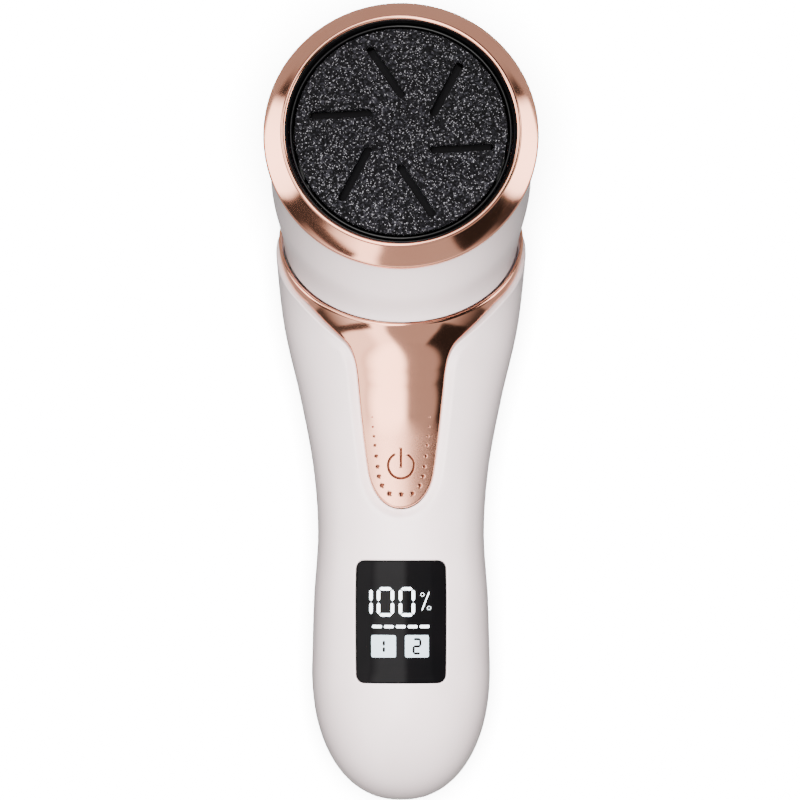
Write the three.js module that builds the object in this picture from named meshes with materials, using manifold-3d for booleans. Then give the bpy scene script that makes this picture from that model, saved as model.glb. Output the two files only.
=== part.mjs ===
// Electric callus remover: a rounded handle with a bent head that carries a spinning abrasive disc.
// Millimetres. The object lies on its back: +Z is the side of the disc and the screen, +Y runs along
// the handle from its rounded tip to the head, and X is the width.
import * as THREE from 'three';
import { mergeVertices } from 'three/addons/utils/BufferGeometryUtils.js';
import Module from 'manifold-3d';

const wasm = await Module();
wasm.setup();

// ---------------------------------------------------------------- driving dimensions
const MID_Y = 89.13; // middle of the whole length, measured from the tip of the handle
const WALL = 2; // wall of the casings
const NECK_WALL = 3.8; // thicker wall under the collar trim
const SKIN = 1.8; // thickness of the plated collar pieces
const GAP = 0.3; // clearance between neighbours
const KEY_GAP = 0.6; // clearance around the rocking key
const PARTING_Z = 17.2; // height where the front and back casings meet
const SIDES = 36; // facets around the outside of the body
const CAVITY_SIDES = 20; // facets around the inside of the body

// Tip of the handle: a superelliptic dome.
const TIP_LENGTH = 30;
const TIP_POWER = 2.2;
const TIP_Z = 17.4;

// Body stations from the end of the tip dome to the ring seat. front and back are the [y, z] ends of
// a section line, half is the half width across X, power is the exponent of the superellipse.
const STATIONS = [
  { front: [30, 33.2], back: [30, 0], half: 20.25, power: 2.2 },
  { front: [46, 34.4], back: [46, 0.5], half: 19.75, power: 2.2 },
  { front: [61, 35], back: [61, 1], half: 18.85, power: 2.2 },
  { front: [74, 35.6], back: [78, 1.3], half: 19.95, power: 2.15 },
  { front: [86, 36.4], back: [98, 1.3], half: 22.9, power: 2.1 },
  { front: [97, 37.8], back: [121, 1.2], half: 26.6, power: 2.05 },
  { front: [107.4, 41.4], back: [148.2, 2], half: 28.5, power: 2 },
  { front: [113.4, 48.3], back: [166.7, 19], half: 28.9, power: 2 },
  { front: [120.1, 56.5], back: [176.3, 44.5], half: 28.7, power: 2 },
];
const COLLAR_AT = 6; // station of the collar plane
const HEAD_AT = 8; // station of the ring seat

// Collar: the plane where the head meets the handle, and the plated band below it.
const COLLAR_TILT = 44; // degrees between the collar plane's normal and Z
const COLLAR = new THREE.Vector3(0, 127.8, 21.7);
const BAND_WIDTH = 2.6;

// Head axis: heights are measured along it from the ring seat.
const HEAD_TILT = 12;
const SEAT = new THREE.Vector3(0, 148.2, 50.5);
const RING_R = 30;
const OPENING_R = 24.5;
const DISC = { r: 23.05, top: 5, thick: 2 };
const SLOT = { count: 6, start: 6.4, end: 19.4, offset: 4.5, width: 1.9, phase: 3 };
const SHAFT = { r: 2, foot: -27, top: 0.9 };
const BORE_R = SHAFT.r + GAP;
const CUP = { inner: 5.5, outer: 24.2, wall: 0.6, foot: -9.2, floor: -7.6, lip: 4.1, portR: 3.2, portAt: 15 };
const CARRIER = { hubR: 4.6, foot: -5.5, flangeR: 20, flangeRoot: 0.6, flangeEdge: 0.9, top: 2.6, boreTop: 1.2 };
const BEARING = { outer: 5.2, foot: -9.2, top: -6.7 };
const FILTER = { inner: 6, outer: 21, foot: -12.4, top: -9.6 };
const FAN = { hubR: 5, plateBore: 4, r: 15.5, foot: -18.6, plateTop: -17.6, top: -13 };
const BLADE = { count: 8, length: 10.6, thick: 0.9, height: 4.4, at: 9.9, level: -15.4 };
const PLATE = { inner: 5.5, outer: 22, foot: -20.8, top: -19.3 };
const MOTOR = { r: 12, top: -21.1, foot: -40, bossR: 4, bossFoot: -41.5, boreFoot: -28 };

// Power key: a plated tongue hung on its two wing tips, over a push switch.
const TONGUE_END = 66.7;
const WING = { x: 26, y: 118 }; // where the key's outline meets the band
const SWITCH = { y: 76.5, size: 6, height: 3.4, top: 29.4, plungerR: 1.6, plungerTop: 33.3 };

// Screen window in the front casing, the display under it and the circuit board.
const SCREEN = { y: 41.3, width: 20.2, length: 27.3, corner: 1.8, foot: 30.2 };
const DISPLAY = { width: 18.6, length: 25, thick: 2.6, z: 27.3 };
const BOARD = { width: 19.6, length: 62, thick: 1.6, y: 62, z: 24.8 };

// Resting pad with the air outlet, on the back.
const PAD = { y: 120, r: 14.5, foot: 0.2, top: 8, coverR: 12, coverTop: 3.2 };
const LOUVRE = { count: 3, first: 4, pitch: 2.6, width: 1.4, length: 15, shorter: 3 };

// Battery: a cylindrical lithium cell, 18 mm by 65 mm, with its button end towards the head.
const CELL = { r: 9.1, y0: 21, y1: 86, z: 12.9, button: 1, buttonR: 2.8 };
const CRADLE = { width: 19.6, length: 40, height: 5.2, y: 54, z: 5.4 };

// Charging socket at the tip, and its circuit board.
const SOCKET = { width: 9.2, height: 3.4, y0: 3, y1: 10.4 };
const CHARGER = { width: 12, length: 9, thick: 1.2, y: 9.5, drop: 1 };

// Casing screws, driven from the back into posts. Levels are heights of the casing's Z.
const SCREWS = [[-13.4, 36], [13.4, 36], [-16.5, 94], [16.5, 94]];
const SCREW = { shankR: 1, shankFoot: 7.5, headR: 2.1, headFoot: 6.2, headTop: 8.1 };
const CROSS = { length: 2.2, width: 0.6, depth: 1 };
const POST = { r: 3.1, top: 24, recessR: 2.5, recessTop: 8.4, clearR: 1.4, threadR: 1.25, threadFoot: 10 };

const FAR = 80; // beyond the casing's front
const UNDER = -5; // below the casing's back

// ---------------------------------------------------------------- materials
const finish = (color, roughness, metalness) => new THREE.MeshStandardMaterial({ color, roughness, metalness });
const shellWhite = finish(0xefe9e8, 0.32, 0);
const roseGold = finish(0xd9a791, 0.18, 1);
const gritBlack = finish(0x2c2c31, 0.75, 0.1);
const glossBlack = finish(0x101012, 0.1, 0);
const matteBlack = finish(0x1d1d1f, 0.55, 0);
const steel = finish(0xb9bcc0, 0.3, 1);
const boardGreen = finish(0x1f6b3c, 0.5, 0);
const cellBlue = finish(0x2c5fa8, 0.4, 0);
const spongeGrey = finish(0x55565a, 0.95, 0);
const displayGrey = finish(0x8d9694, 0.3, 0);

// ---------------------------------------------------------------- solids
function solid(geometry) {
  const bare = geometry.index ? geometry.toNonIndexed() : geometry.clone();
  bare.deleteAttribute('normal');
  bare.deleteAttribute('uv');
  const merged = mergeVertices(bare, 1e-4);
  return new wasm.Manifold(new wasm.Mesh({
    numProp: 3,
    vertProperties: new Float32Array(merged.attributes.position.array),
    triVerts: new Uint32Array(merged.index.array),
  }));
}

// The main body of a cut, without the paper-thin scraps that coincident faces leave.
function mainBody(manifold) {
  const pieces = manifold.decompose();
  return pieces.reduce((best, piece) => (piece.volume() > best.volume() ? piece : best));
}

function toGeometry(manifold) {
  const { vertProperties, triVerts } = manifold.getMesh();
  const geometry = new THREE.BufferGeometry();
  geometry.setAttribute('position', new THREE.BufferAttribute(new Float32Array(vertProperties), 3));
  geometry.setIndex(new THREE.BufferAttribute(new Uint32Array(triVerts), 1));
  return geometry;
}

const model = new THREE.Group();
model.position.y = -MID_Y;

// Head pieces are drawn about their own Z axis and stand in this tilted group.
const head = new THREE.Group();
head.position.copy(SEAT);
head.rotation.x = -THREE.MathUtils.degToRad(HEAD_TILT);
head.updateMatrix();
model.add(head);

function add(parent, name, shape, material) {
  const geometry = shape.isBufferGeometry ? shape : toGeometry(shape);
  const mesh = new THREE.Mesh(geometry, material);
  mesh.name = name;
  parent.add(mesh);
  return mesh;
}

// Closed skin over a row of rings with equal point counts, a fan at each end.
function loft(rings) {
  const around = rings[0].length;
  const points = rings.flat();
  const index = [];
  for (let r = 0; r + 1 < rings.length; r += 1) {
    for (let i = 0; i < around; i += 1) {
      const a = r * around + i;
      const b = r * around + ((i + 1) % around);
      index.push(a, b + around, b);
      index.push(a, a + around, b + around);
    }
  }
  const centre = (ring) => ring.reduce((sum, p) => sum.add(p), new THREE.Vector3()).divideScalar(around);
  const first = points.push(centre(rings[0])) - 1;
  const last = points.push(centre(rings.at(-1))) - 1;
  const top = (rings.length - 1) * around;
  for (let i = 0; i < around; i += 1) {
    const next = (i + 1) % around;
    index.push(first, i, next);
    index.push(last, top + next, top + i);
  }
  const geometry = new THREE.BufferGeometry().setFromPoints(points);
  geometry.setIndex(index);
  return geometry;
}

// Lathe about Z from [radius, height] points. A profile that leaves the axis is closed on itself.
function turned(profile, segments = 32) {
  const closed = profile[0][0] > 0 ? [...profile, profile[0]] : profile;
  const points = closed.map(([r, h]) => new THREE.Vector2(r, h));
  return new THREE.LatheGeometry(points, segments).rotateX(Math.PI / 2);
}

const disc = (r, h0, h1, segments = 32) => turned([[0, h0], [r, h0], [r, h1], [0, h1]], segments);
const tube = (inner, outer, h0, h1, segments = 32) =>
  turned([[inner, h0], [outer, h0], [outer, h1], [inner, h1]], segments);

// Upright rod at [x, y] between two heights.
const rod = (r, x, y, z0, z1, segments = 12) => solid(disc(r, z0, z1, segments).translate(x, y, 0));

function block(width, length, height, x, y, z) {
  return new THREE.BoxGeometry(width, length, height).translate(x, y, z);
}

function extruded(shape, z0, z1, curveSegments = 8) {
  const geometry = new THREE.ExtrudeGeometry(shape, { depth: z1 - z0, bevelEnabled: false, curveSegments });
  return geometry.translate(0, 0, z0);
}

function roundedRect(width, length, corner, y = 0) {
  const shape = new THREE.Shape();
  const x1 = width / 2;
  const y0 = y - length / 2;
  const y1 = y + length / 2;
  shape.moveTo(-x1 + corner, y0);
  shape.lineTo(x1 - corner, y0);
  shape.absarc(x1 - corner, y0 + corner, corner, -Math.PI / 2, 0, false);
  shape.absarc(x1 - corner, y1 - corner, corner, 0, Math.PI / 2, false);
  shape.absarc(-x1 + corner, y1 - corner, corner, Math.PI / 2, Math.PI, false);
  shape.absarc(-x1 + corner, y0 + corner, corner, Math.PI, Math.PI * 1.5, false);
  return shape;
}

// ---------------------------------------------------------------- body surface
const bend = (a, b, c, d, t) =>
  b + 0.5 * t * (c - a + t * (2 * a - 5 * b + 4 * c - d + t * (3 * (b - c) + d - a)));

// Section of the body at a station number, with its wall taken off.
function station(at, inset) {
  const i = Math.min(Math.floor(at), HEAD_AT - 1);
  const row = (k) => STATIONS[THREE.MathUtils.clamp(k, 0, HEAD_AT)];
  const four = [row(i - 1), row(i), row(i + 1), row(i + 2)];
  const value = (read) => bend(...four.map(read), at - i);
  const front = new THREE.Vector3(0, value((s) => s.front[0]), value((s) => s.front[1]));
  const back = new THREE.Vector3(0, value((s) => s.back[0]), value((s) => s.back[1]));
  const up = front.clone().sub(back);
  const depth = up.length() / 2 - inset;
  return {
    centre: front.clone().add(back).multiplyScalar(0.5),
    up: up.normalize(),
    half: value((s) => s.half) - inset,
    depth,
    power: value((s) => s.power),
  };
}

function sectionRing({ centre, up, half, depth, power }, sides) {
  const ring = [];
  const bulge = (v) => Math.sign(v) * Math.abs(v) ** (2 / power);
  for (let i = 0; i < sides; i += 1) {
    const angle = (i / sides) * Math.PI * 2;
    const point = centre.clone().addScaledVector(up, -depth * bulge(Math.cos(angle)));
    point.x = half * bulge(Math.sin(angle));
    ring.push(point);
  }
  return ring;
}

// Rings of the rounded tip, growing to the first station.
function tipRings(inset, sides, count) {
  const base = station(0, inset);
  const rings = [];
  for (let k = 1; k < count; k += 1) {
    const angle = (k / count) * (Math.PI / 2);
    const grow = Math.sin(angle) ** (2 / TIP_POWER);
    const away = Math.cos(angle) ** (2 / TIP_POWER);
    const y = TIP_LENGTH - (TIP_LENGTH - inset) * away;
    const z = THREE.MathUtils.lerp(base.centre.z, TIP_Z, away);
    const centre = new THREE.Vector3(0, y, z);
    rings.push(sectionRing({ ...base, centre, half: base.half * grow, depth: base.depth * grow }, sides));
  }
  return rings;
}

function bodyRings(from, to, step, inset, sides) {
  const rings = [];
  const count = Math.round((to - from) / step);
  for (let k = 0; k <= count; k += 1) {
    const at = from + ((to - from) * k) / count;
    const wall = typeof inset === 'function' ? inset(at) : inset;
    rings.push(sectionRing(station(at, wall), sides));
  }
  return rings;
}

const handleSolid = (inset, sides, tipCount, step) =>
  solid(loft([...tipRings(inset, sides, tipCount), ...bodyRings(0, COLLAR_AT, step, inset, sides)]));
const neckWall = (at) => THREE.MathUtils.lerp(WALL, NECK_WALL, THREE.MathUtils.smoothstep(at, 4, 5));

// Slice between two planes parallel to the collar plane, at signed distances towards the head.
function collarSlice(from, to) {
  const reach = 160;
  const slab = new THREE.BoxGeometry(reach, reach, to - from).translate(0, 0, (from + to) / 2);
  slab.rotateX(-THREE.MathUtils.degToRad(COLLAR_TILT)).translate(0, COLLAR.y, COLLAR.z);
  return solid(slab);
}

const layer = (z0, z1) => solid(block(120, 400, z1 - z0, 0, 100, (z0 + z1) / 2));
const inHead = (geometry) => solid(geometry.applyMatrix4(head.matrix));

// Plan outline of the plated tongue and its wings, grown outwards by a margin.
function tongueShape(margin) {
  const m = margin;
  const shape = new THREE.Shape();
  const half = (s) => {
    const x = (v) => s * (v + m);
    return [
      [x(24.2), 114.2 - m, x(18.6), 108.6 - m, x(13.2), 104 - m * 0.7],
      [x(10.9), 102 - m * 0.3, x(10.1), 99, x(9.7), 94.5],
      [x(9.2), 89, x(8.4), 81, x(7.5), 75.2],
      [x(6.9), 70.6 - m, x(4), TONGUE_END - m, 0, TONGUE_END - m],
    ];
  };
  shape.moveTo(-(WING.x + m), WING.y - m);
  for (const c of half(-1)) shape.bezierCurveTo(...c);
  const right = half(1);
  const start = [[WING.x + m, WING.y - m], ...right.map((c) => [c[4], c[5]])];
  for (let k = right.length - 1; k >= 0; k -= 1) {
    const [x1, y1, x2, y2] = right[k];
    shape.bezierCurveTo(x2, y2, x1, y1, ...start[k]);
  }
  shape.lineTo(WING.x + m, WING.y + 12);
  shape.lineTo(-(WING.x + m), WING.y + 12);
  return shape;
}

// ---------------------------------------------------------------- casings
const NECK_END = COLLAR_AT + 0.2; // the hollow runs on a little past the collar plane
const outer = handleSolid(0, SIDES, 9, 0.5);
const cavity = solid(loft([
  ...tipRings(WALL, CAVITY_SIDES, 6),
  ...bodyRings(0, NECK_END, 0.62, neckWall, CAVITY_SIDES),
]));
const innerCopy = (inset) =>
  solid(loft([...tipRings(inset, SIDES, 5), ...bodyRings(0, NECK_END, 0.5, inset, SIDES)]));
const rebateSkin = innerCopy(SKIN + KEY_GAP);
const skin = outer.subtract(innerCopy(SKIN));

const COLUMN_FOOT = 20; // level the cutting columns of the front start at
const frontColumn = (shape, z0 = COLUMN_FOOT, z1 = FAR) => solid(extruded(shape, z0, z1));
const wingCut = frontColumn(tongueShape(KEY_GAP), COLUMN_FOOT - KEY_GAP);
const tongueReach = 105; // the key's slot goes right through the casing up to here
const tongueCut = wingCut.intersect(solid(block(30, 60, FAR, 0, tongueReach - 30, FAR / 2)));
const screenHole = roundedRect(
  SCREEN.width + 2 * GAP,
  SCREEN.length + 2 * GAP,
  SCREEN.corner + GAP,
  SCREEN.y,
);
const screenCut = frontColumn(screenHole, 25);
const socketCut = solid(block(SOCKET.width + 2 * GAP, 30, SOCKET.height + 2 * GAP, 0, 0, TIP_Z));

let casing = outer.subtract(cavity).subtract(collarSlice(-2 * GAP, 20));
casing = casing.subtract(collarSlice(-BAND_WIDTH - GAP, 0).subtract(rebateSkin));
casing = casing.subtract(socketCut);

// Screw posts join the two casings; each is trimmed to the inside of the body.
const posts = SCREWS.map(([x, y]) => rod(POST.r, x, y, 0, 40));
const allPosts = posts.reduce((sum, post) => sum.add(post)).intersect(outer);

let back = casing.add(allPosts).intersect(layer(UNDER, PARTING_Z));
back = back.add(rod(PAD.r, 0, PAD.y, PAD.foot, PAD.top, 40).subtract(cavity));
back = back.subtract(rod(PAD.coverR + GAP, 0, PAD.y, UNDER, PAD.top + 4, 36));
for (const [x, y] of SCREWS) {
  back = back.subtract(rod(POST.recessR, x, y, UNDER, POST.recessTop));
  back = back.subtract(rod(POST.clearR, x, y, UNDER, PARTING_Z + 1));
}
add(model, 'back_casing', mainBody(back), shellWhite);

let front = casing.add(allPosts).intersect(layer(PARTING_Z + GAP, FAR));
front = front.subtract(wingCut.subtract(rebateSkin)).subtract(tongueCut).subtract(screenCut);
for (const [x, y] of SCREWS) {
  front = front.subtract(rod(POST.threadR, x, y, POST.threadFoot, POST.top + 1));
}
add(model, 'front_casing', mainBody(front), shellWhite);

SCREWS.forEach(([x, y], k) => {
  const shank = rod(SCREW.shankR, x, y, SCREW.shankFoot, POST.top);
  const cap = rod(SCREW.headR, x, y, SCREW.headFoot, SCREW.headTop);
  const crossZ = SCREW.headFoot + 0.2;
  const bar = solid(block(CROSS.length, CROSS.width, CROSS.depth, x, y, crossZ));
  const crossbar = solid(block(CROSS.width, CROSS.length, CROSS.depth, x, y, crossZ));
  add(model, `case_screw_${k + 1}`, shank.add(cap).subtract(bar).subtract(crossbar), steel);
});

// ---------------------------------------------------------------- head casing
const headOuter = solid(loft(bodyRings(COLLAR_AT - 0.3, HEAD_AT, 0.33, 0, SIDES)));
const headInner = solid(loft(bodyRings(COLLAR_AT - 0.4, HEAD_AT, 0.4, WALL, CAVITY_SIDES)));
const seatFloor = inHead(disc(40, -WALL, 10));
const headCasing = headOuter
  .subtract(headInner.subtract(seatFloor))
  .subtract(inHead(disc(OPENING_R + 0.1, -10, 10)))
  .subtract(collarSlice(-40, GAP));
add(model, 'head_casing', headCasing, shellWhite);

// ---------------------------------------------------------------- collar trim and power key
const TRIM_TOP = -GAP - 0.2; // the trim stops just short of the collar plane
const bandBelow = skin.intersect(collarSlice(-BAND_WIDTH, TRIM_TOP));
add(model, 'collar_band', bandBelow.intersect(layer(UNDER, PARTING_Z - GAP)), roseGold);

const tongue = frontColumn(tongueShape(0)).intersect(collarSlice(-90, TRIM_TOP));
const keyArea = collarSlice(-BAND_WIDTH + 0.2, TRIM_TOP).add(tongue);
add(model, 'power_key', skin.intersect(keyArea).intersect(layer(PARTING_Z + GAP, FAR)), roseGold);

const switchZ = SWITCH.top - SWITCH.height / 2;
add(model, 'switch_body', block(SWITCH.size, SWITCH.size, SWITCH.height, 0, SWITCH.y, switchZ), matteBlack);
const plunger = disc(SWITCH.plungerR, SWITCH.top + 1, SWITCH.plungerTop, 20).translate(0, SWITCH.y, 0);
add(model, 'switch_plunger', plunger, matteBlack);

// ---------------------------------------------------------------- head pieces, along the head axis
const ringProfile = [
  [OPENING_R, 0.3],
  [RING_R - 0.5, 0.3],
  [RING_R, 0.7],
  [RING_R, 1.4],
  [RING_R - 0.25, 2.1],
  [RING_R - 0.9, 2.75],
  [OPENING_R + 1.2, 5.3],
  [OPENING_R + 0.8, 5.45],
  [OPENING_R + 0.45, 5.3],
  [OPENING_R, 4.6],
];
add(head, 'guard_ring', turned(ringProfile, 44), roseGold);

const everySlot = (k) => (k * Math.PI * 2) / SLOT.count;
let cup = solid(turned([
  [CUP.inner, CUP.foot],
  [CUP.outer, CUP.foot],
  [CUP.outer, CUP.lip],
  [CUP.outer - CUP.wall, CUP.lip],
  [CUP.outer - CUP.wall, CUP.floor],
  [CUP.inner, CUP.floor],
]));
for (let k = 0; k < SLOT.count; k += 1) {
  const port = disc(CUP.portR, CUP.foot - 3, CUP.floor + 3, 12).translate(CUP.portAt, 0, 0);
  cup = cup.subtract(solid(port.rotateZ(everySlot(k))));
}
add(head, 'dust_cup', cup, glossBlack);

const discFoot = DISC.top - DISC.thick;
let grit = solid(turned([
  [0, discFoot],
  [DISC.r - 0.3, discFoot],
  [DISC.r, discFoot + 0.4],
  [DISC.r, DISC.top - 0.4],
  [DISC.r - 0.5, DISC.top],
  [0, DISC.top],
], 40));
for (let k = 0; k < SLOT.count; k += 1) {
  const outline = roundedRect(SLOT.end - SLOT.start, SLOT.width, SLOT.width / 2 - 0.01);
  const slot = extruded(outline, discFoot - 1, DISC.top + 1, 3);
  slot.translate((SLOT.start + SLOT.end) / 2, -SLOT.offset, 0);
  slot.rotateZ(THREE.MathUtils.degToRad(SLOT.phase) + everySlot(k));
  grit = grit.subtract(solid(slot));
}
add(head, 'abrasive_disc', grit, gritBlack);

const carrier = turned([
  [BORE_R, CARRIER.foot],
  [CARRIER.hubR, CARRIER.foot],
  [CARRIER.hubR, CARRIER.flangeRoot],
  [CARRIER.flangeR, CARRIER.flangeEdge],
  [CARRIER.flangeR, CARRIER.top],
  [0, CARRIER.top],
  [0, CARRIER.boreTop],
  [BORE_R, CARRIER.boreTop],
], 28);
add(head, 'disc_carrier', carrier, matteBlack);
add(head, 'drive_shaft', disc(SHAFT.r, SHAFT.foot, SHAFT.top, 16), steel);
add(head, 'shaft_bearing', tube(BORE_R + 0.1, BEARING.outer, BEARING.foot, BEARING.top, 20), steel);
add(head, 'dust_filter', tube(FILTER.inner, FILTER.outer, FILTER.foot, FILTER.top, 28), spongeGrey);

let impeller = solid(tube(BORE_R, FAN.hubR, FAN.foot, FAN.top, 16));
impeller = impeller.add(solid(tube(FAN.plateBore, FAN.r, FAN.foot, FAN.plateTop, 24)));
for (let k = 0; k < BLADE.count; k += 1) {
  const blade = block(BLADE.length, BLADE.thick, BLADE.height, BLADE.at, 0, BLADE.level);
  impeller = impeller.add(solid(blade.rotateZ((k * Math.PI * 2) / BLADE.count)));
}
add(head, 'suction_fan', impeller, matteBlack);
add(head, 'motor_plate', tube(PLATE.inner, PLATE.outer, PLATE.foot, PLATE.top), steel);
const motor = turned([
  [BORE_R, MOTOR.boreFoot],
  [0, MOTOR.boreFoot],
  [0, MOTOR.bossFoot],
  [MOTOR.bossR, MOTOR.bossFoot],
  [MOTOR.bossR, MOTOR.foot],
  [MOTOR.r, MOTOR.foot],
  [MOTOR.r, MOTOR.top],
  [BORE_R, MOTOR.top],
], 28);
add(head, 'motor', motor, steel);

// ---------------------------------------------------------------- electronics in the handle
add(model, 'main_board', block(BOARD.width, BOARD.length, BOARD.thick, 0, BOARD.y, BOARD.z), boardGreen);
const display = block(DISPLAY.width, DISPLAY.length, DISPLAY.thick, 0, SCREEN.y, DISPLAY.z);
add(model, 'display_module', display, displayGrey);

const windowOutline = roundedRect(SCREEN.width, SCREEN.length, SCREEN.corner, SCREEN.y);
add(model, 'screen_window', frontColumn(windowOutline, SCREEN.foot).intersect(outer), glossBlack);

// Round bar lying along the handle.
const bar = (r, y0, y1, z, sides) =>
  solid(new THREE.CylinderGeometry(r, r, y1 - y0, sides).translate(0, (y0 + y1) / 2, z));

const shoulder = CELL.y1 - CELL.button;
const terminal = bar(CELL.buttonR, shoulder - 1, CELL.y1, CELL.z, 20);
add(model, 'battery_cell', bar(CELL.r, CELL.y0, shoulder, CELL.z, 32).add(terminal), cellBlue);

const cradle = solid(block(CRADLE.width, CRADLE.length, CRADLE.height, 0, CRADLE.y, CRADLE.z))
  .intersect(handleSolid(WALL + 2 * GAP, CAVITY_SIDES, 6, 0.6))
  .subtract(bar(CELL.r + GAP, 0, 100, CELL.z, 36));
add(model, 'battery_cradle', cradle, matteBlack);

const socketLength = SOCKET.y1 - SOCKET.y0;
const socketY = (SOCKET.y0 + SOCKET.y1) / 2;
add(model, 'charge_socket', block(SOCKET.width, socketLength, SOCKET.height, 0, socketY, TIP_Z), steel);
const chargerZ = TIP_Z - SOCKET.height / 2 - CHARGER.drop;
const charger = block(CHARGER.width, CHARGER.length, CHARGER.thick, 0, CHARGER.y, chargerZ);
add(model, 'charge_board', charger, boardGreen);

// ---------------------------------------------------------------- air outlet cover on the back
let cover = rod(PAD.coverR, 0, PAD.y, 0, PAD.coverTop, 36);
for (const side of [-1, 1]) {
  for (let k = 0; k < LOUVRE.count; k += 1) {
    const y = PAD.y + side * (LOUVRE.first + LOUVRE.pitch * k);
    const louvre = block(LOUVRE.length - LOUVRE.shorter * k, LOUVRE.width, 10, 0, y, 0);
    cover = cover.subtract(solid(louvre));
  }
}
add(model, 'outlet_cover', cover, shellWhite);

export default model;
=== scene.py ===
"""Electric callus remover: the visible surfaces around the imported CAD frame.

Shapes are worked out in millimetres from the tip of the handle, in the same numbers as the CAD part,
and become metres in the frame's own place when a mesh is made.
"""

import math

import bpy
import numpy as np
from mathutils import Matrix, Vector
from mathutils.geometry import delaunay_2d_cdt

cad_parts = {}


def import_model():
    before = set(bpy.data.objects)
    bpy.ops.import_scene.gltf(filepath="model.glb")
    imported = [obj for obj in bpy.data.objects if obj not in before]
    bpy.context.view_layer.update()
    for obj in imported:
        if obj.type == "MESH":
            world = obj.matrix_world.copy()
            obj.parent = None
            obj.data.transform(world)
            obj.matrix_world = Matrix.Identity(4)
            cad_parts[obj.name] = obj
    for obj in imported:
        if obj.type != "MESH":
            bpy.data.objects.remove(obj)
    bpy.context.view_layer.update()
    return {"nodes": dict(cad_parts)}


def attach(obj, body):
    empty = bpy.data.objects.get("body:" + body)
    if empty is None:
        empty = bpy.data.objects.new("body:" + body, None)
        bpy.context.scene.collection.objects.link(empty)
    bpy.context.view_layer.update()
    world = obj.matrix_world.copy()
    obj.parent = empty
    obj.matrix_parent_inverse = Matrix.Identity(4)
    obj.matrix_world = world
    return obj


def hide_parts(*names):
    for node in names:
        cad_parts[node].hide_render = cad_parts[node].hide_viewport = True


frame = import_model()

MM = 0.001
MID_Y = 89.13  # middle of the length, from the tip of the handle
PI = math.pi

# ---------------------------------------------------------------- body surface
# Stations from the end of the tip dome to the ring seat:
# front y, front z, back y, back z, half width, power of the superellipse.
STATIONS = np.array([
    [30, 33.2, 30, 0, 20.25, 2.2],
    [46, 34.4, 46, 0.5, 19.75, 2.2],
    [61, 35, 61, 1, 18.85, 2.2],
    [74, 35.6, 78, 1.3, 19.95, 2.15],
    [86, 36.4, 98, 1.3, 22.9, 2.1],
    [97, 37.8, 121, 1.2, 26.6, 2.05],
    [107.4, 41.4, 148.2, 2, 28.5, 2],
    [113.4, 48.3, 166.7, 19, 28.9, 2],
    [120.1, 56.5, 176.3, 44.5, 28.7, 2],
])
HEAD_AT = 8
TIP_LENGTH = 30
TIP_POWER = 2.2
TIP_Z = 17.4
PARTING_Z = 17.35
SEAM = 0.09  # half of the hairline between neighbouring mouldings

COLLAR_TILT = math.radians(44)
COLLAR = np.array([0, 127.8, 21.7])
COLLAR_NORMAL = np.array([0, math.sin(COLLAR_TILT), math.cos(COLLAR_TILT)])
BAND_WIDTH = 2.6

HEAD_TILT = math.radians(12)
SEAT = np.array([0, 148.2, 50.5])
HEAD = Matrix.Translation(Vector(SEAT)) @ Matrix.Rotation(-HEAD_TILT, 4, "X")

SCREEN = {"y": 41.3, "width": 20.2, "length": 27.3, "corner": 1.8}
PAD_Y = 120
PAD_R = 14.5
COVER_R = 12
SCREWS = [(-13.4, 36), (13.4, 36), (-16.5, 94), (16.5, 94)]
SOCKET = {"width": 9.8, "height": 4.0, "corner": 1.9}


def body(t, phi):
    """Points of the body at station t (-1 at the very tip) and angle phi (0 back, pi/2 right, pi front)."""
    t = np.asarray(t, float)
    phi = np.asarray(phi, float)
    at = np.clip(t, 0, HEAD_AT)
    i = np.minimum(at.astype(int), HEAD_AT - 1)
    f = (at - i)[..., None]
    a, b, c, d = (STATIONS[np.clip(i + k, 0, HEAD_AT)] for k in (-1, 0, 1, 2))
    row = b + 0.5 * f * (c - a + f * (2 * a - 5 * b + 4 * c - d + f * (3 * (b - c) + d - a)))
    fy, fz, by, bz, half, power = np.moveaxis(row, -1, 0)
    depth = np.hypot(fy - by, fz - bz) / 2
    up_y = (fy - by) / (2 * depth)
    up_z = (fz - bz) / (2 * depth)
    cy = (fy + by) / 2
    cz = (fz + bz) / 2
    turn = np.clip(1 + t, 0, 1) * PI / 2
    grow = np.where(t < 0, np.abs(np.sin(turn)) ** (2 / TIP_POWER), 1)
    away = np.where(t < 0, np.abs(np.cos(turn)) ** (2 / TIP_POWER), 0)
    cy = np.where(t < 0, TIP_LENGTH * (1 - away), cy)
    cz = cz + (TIP_Z - cz) * away
    bulge = lambda v: np.sign(v) * np.abs(v) ** (2 / power)
    rise = -depth * grow * bulge(np.cos(phi))
    x = half * grow * bulge(np.sin(phi))
    return np.stack([x, cy + up_y * rise, cz + up_z * rise], -1)


def unit(v):
    return v / np.maximum(np.linalg.norm(v, axis=-1, keepdims=True), 1e-12)


def body_normal(t, phi):
    e = 2e-3
    t = np.clip(t, -1 + 2 * e, HEAD_AT - 2 * e)
    along = body(t + e, phi) - body(t - e, phi)
    around = body(t, phi + e) - body(t, phi - e)
    return unit(np.cross(along, around))


def bisect(low, high, value):
    """Where value, which rises from below zero to above it, is zero."""
    low = np.array(low, float)
    high = np.array(high, float)
    for _ in range(44):
        mid = (low + high) / 2
        below = value(mid) < 0
        low = np.where(below, mid, low)
        high = np.where(below, high, mid)
    return (low + high) / 2


def above_collar(p):
    """Distance from the collar plane, towards the head."""
    return (p - COLLAR) @ COLLAR_NORMAL


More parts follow.
